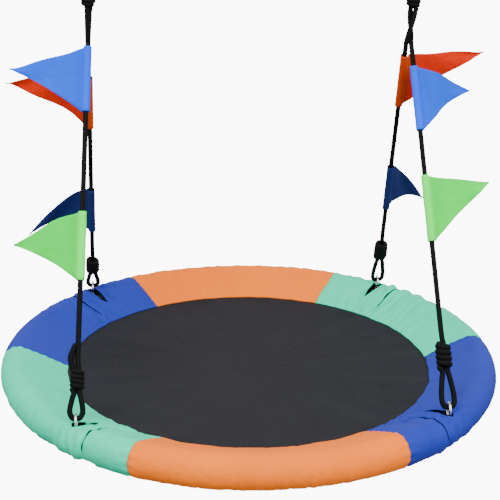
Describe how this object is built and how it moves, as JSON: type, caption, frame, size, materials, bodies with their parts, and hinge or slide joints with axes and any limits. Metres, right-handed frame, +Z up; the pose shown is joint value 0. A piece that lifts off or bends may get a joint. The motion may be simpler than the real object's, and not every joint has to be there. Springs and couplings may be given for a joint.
{
  "type": "saucer nest swing",
  "caption": "Round saucer nest swing: a padded steel ring in coloured fabric covers with a dark cloth seat, hung on knotted ropes carrying small triangular pennants.",
  "frame": {"origin": "midway between the two hang points, at the inside of the tops of the snap hooks", "axes": "+Z up along the pull of the ropes, +X towards the right-hand rope pair, -Y towards the front of the seat"},
  "size_m": [0.9994, 0.9994, 0.8853],
  "materials": {
    "cover_green": "coated woven polyester, slight sheen",
    "cover_orange": "coated woven polyester, slight sheen",
    "cover_blue": "coated woven polyester, slight sheen",
    "deck": "matt woven polyester",
    "rope": "matt braided cord",
    "foam": "closed-cell foam, matt",
    "frame_steel": "zinc plated",
    "bright_steel": "polished",
    "flag_azure": "thin woven polyester",
    "flag_lime": "thin woven polyester",
    "flag_orange": "thin woven polyester",
    "flag_navy": "thin woven polyester"
  },
  "bodies": {
    "hangers": {"carabiner_left": "bright_steel", "carabiner_right": "bright_steel", "gate_pin_left": "bright_steel", "gate_pin_right": "bright_steel"},
    "gate_right": {"carabiner_gate_right": "bright_steel"},
    "gate_left": {"carabiner_gate_left": "bright_steel"},
    "ring_right": {"top_ring_right": "bright_steel"},
    "ring_left": {"top_ring_left": "bright_steel"},
    "ropes_right": {"top_knot_right": "rope", "rope_front_right": "rope", "rope_back_right": "rope", "noose_front_right": "rope", "noose_back_right": "rope"},
    "ropes_left": {"top_knot_left": "rope", "rope_front_left": "rope", "rope_back_left": "rope", "noose_front_left": "rope", "noose_back_left": "rope"},
    "saucer": {"frame_tube_back_right": "frame_steel", "frame_tube_back_left": "frame_steel", "frame_tube_front_left": "frame_steel", "frame_tube_front_right": "frame_steel", "joint_screw_right": "bright_steel", "joint_screw_back": "bright_steel", "joint_screw_left": "bright_steel", "joint_screw_front": "bright_steel", "foam_sleeve_right": "foam", "foam_sleeve_back": "foam", "foam_sleeve_left": "foam", "foam_sleeve_front": "foam", "eye_bolt_front_right": "bright_steel", "eye_bolt_front_left": "bright_steel", "eye_bolt_back_right": "bright_steel", "eye_bolt_back_left": "bright_steel", "eye_nut_front_right": "bright_steel", "eye_nut_front_left": "bright_steel", "eye_nut_back_right": "bright_steel", "eye_nut_back_left": "bright_steel", "cover_green_back_right": "cover_green", "cover_orange_back": "cover_orange", "cover_blue_back_left": "cover_blue", "cover_green_front_left": "cover_green", "cover_orange_front": "cover_orange", "cover_blue_front_right": "cover_blue", "deck_fabric": "deck"},
    "pennant_azure_front_left": {"flag_azure_front_left": "flag_azure"},
    "pennant_lime_front_left": {"flag_lime_front_left": "flag_lime"},
    "pennant_orange_back_left": {"flag_orange_back_left": "flag_orange"},
    "pennant_navy_back_left": {"flag_navy_back_left": "flag_navy"},
    "pennant_azure_front_right": {"flag_azure_front_right": "flag_azure"},
    "pennant_lime_front_right": {"flag_lime_front_right": "flag_lime"},
    "pennant_orange_back_right": {"flag_orange_back_right": "flag_orange"},
    "pennant_navy_back_right": {"flag_navy_back_right": "flag_navy"}
  },
  "joints": [
    {"name": "gate_hinge_right", "type": "hinge", "parent": "hangers", "child": "gate_right", "pos_m": [0.32, 0, -0.0448], "axis": [0, -1, 0], "range_deg": [0, 25], "stiffness_Nm_per_rad": 0.02, "springref_deg": -28.65},
    {"name": "gate_hinge_left", "type": "hinge", "parent": "hangers", "child": "gate_left", "pos_m": [-0.286, 0, -0.0448], "axis": [0, -1, 0], "range_deg": [0, 25], "stiffness_Nm_per_rad": 0.02, "springref_deg": -28.65},
    {"name": "swing_left", "type": "hinge", "parent": "hangers", "child": "ring_left", "pos_m": [-0.303, 0, -0.068], "axis": [1, 0, 0], "range_deg": [-45, 45]},
    {"name": "swing_right", "type": "hinge", "parent": "hangers", "child": "ring_right", "pos_m": [0.303, 0, -0.068], "axis": [1, 0, 0], "range_deg": [-45, 45]},
    {"name": "sway_left", "type": "hinge", "parent": "ring_left", "child": "ropes_left", "pos_m": [-0.303, 0, -0.1004], "axis": [0, 1, 0], "range_deg": [-11, 11]},
    {"name": "sway_right", "type": "hinge", "parent": "ring_right", "child": "ropes_right", "pos_m": [0.303, 0, -0.1004], "axis": [0, 1, 0], "range_deg": [-11, 11]},
    {"name": "saucer_level", "type": "hinge", "parent": "ropes_left", "child": "saucer", "pos_m": [-0.33163, 0, -0.804], "axis": [0, 1, 0], "range_deg": [-11, 11]},
    {"name": "pennant_turn_azure_front_left", "type": "hinge", "parent": "ropes_left", "child": "pennant_azure_front_left", "pos_m": [-0.30854, -0.03725, -0.26682], "axis": [0.0374, 0.4765, 0.8784], "range_deg": [-15, 110]},
    {"name": "pennant_turn_lime_front_left", "type": "hinge", "parent": "ropes_left", "child": "pennant_lime_front_left", "pos_m": [-0.32018, -0.18561, -0.54032], "axis": [0.0374, 0.4765, 0.8784], "range_deg": [-35, 120]},
    {"name": "pennant_turn_orange_back_left", "type": "hinge", "parent": "ropes_left", "child": "pennant_orange_back_left", "pos_m": [-0.31138, 0.07342, -0.33349], "axis": [-0.0374, 0.4765, -0.8784], "range_deg": [-30, 70]},
    {"name": "pennant_turn_navy_back_left", "type": "hinge", "parent": "ropes_left", "child": "pennant_navy_back_left", "pos_m": [-0.32245, 0.21461, -0.59378], "axis": [-0.0374, 0.4765, -0.8784], "range_deg": [-50, 90]},
    {"name": "pennant_turn_azure_front_right", "type": "hinge", "parent": "ropes_right", "child": "pennant_azure_front_right", "pos_m": [0.30739, -0.05283, -0.30298], "axis": [0.0419, -0.4818, -0.8753], "range_deg": [-5, 115]},
    {"name": "pennant_turn_lime_front_right", "type": "hinge", "parent": "ropes_right", "child": "pennant_lime_front_right", "pos_m": [0.31628, -0.15507, -0.48873], "axis": [0.0419, -0.4818, -0.8753], "range_deg": [-45, 110]},
    {"name": "pennant_turn_orange_back_right", "type": "hinge", "parent": "ropes_right", "child": "pennant_orange_back_right", "pos_m": [0.2983, 0.04403, -0.287], "axis": [-0.0558, -0.4815, 0.8747], "range_deg": [-8, 75]},
    {"name": "pennant_turn_navy_back_right", "type": "hinge", "parent": "ropes_right", "child": "pennant_navy_back_right", "pos_m": [0.31469, 0.18549, -0.54399], "axis": [-0.0558, -0.4815, 0.8747], "range_deg": [-70, 60]}
  ],
  "couplings": [
    {"joint": "swing_right", "follows": "swing_left", "ratio": 1},
    {"joint": "sway_right", "follows": "sway_left", "ratio": 1},
    {"joint": "saucer_level", "follows": "sway_left", "ratio": -0.9137}
  ]
}
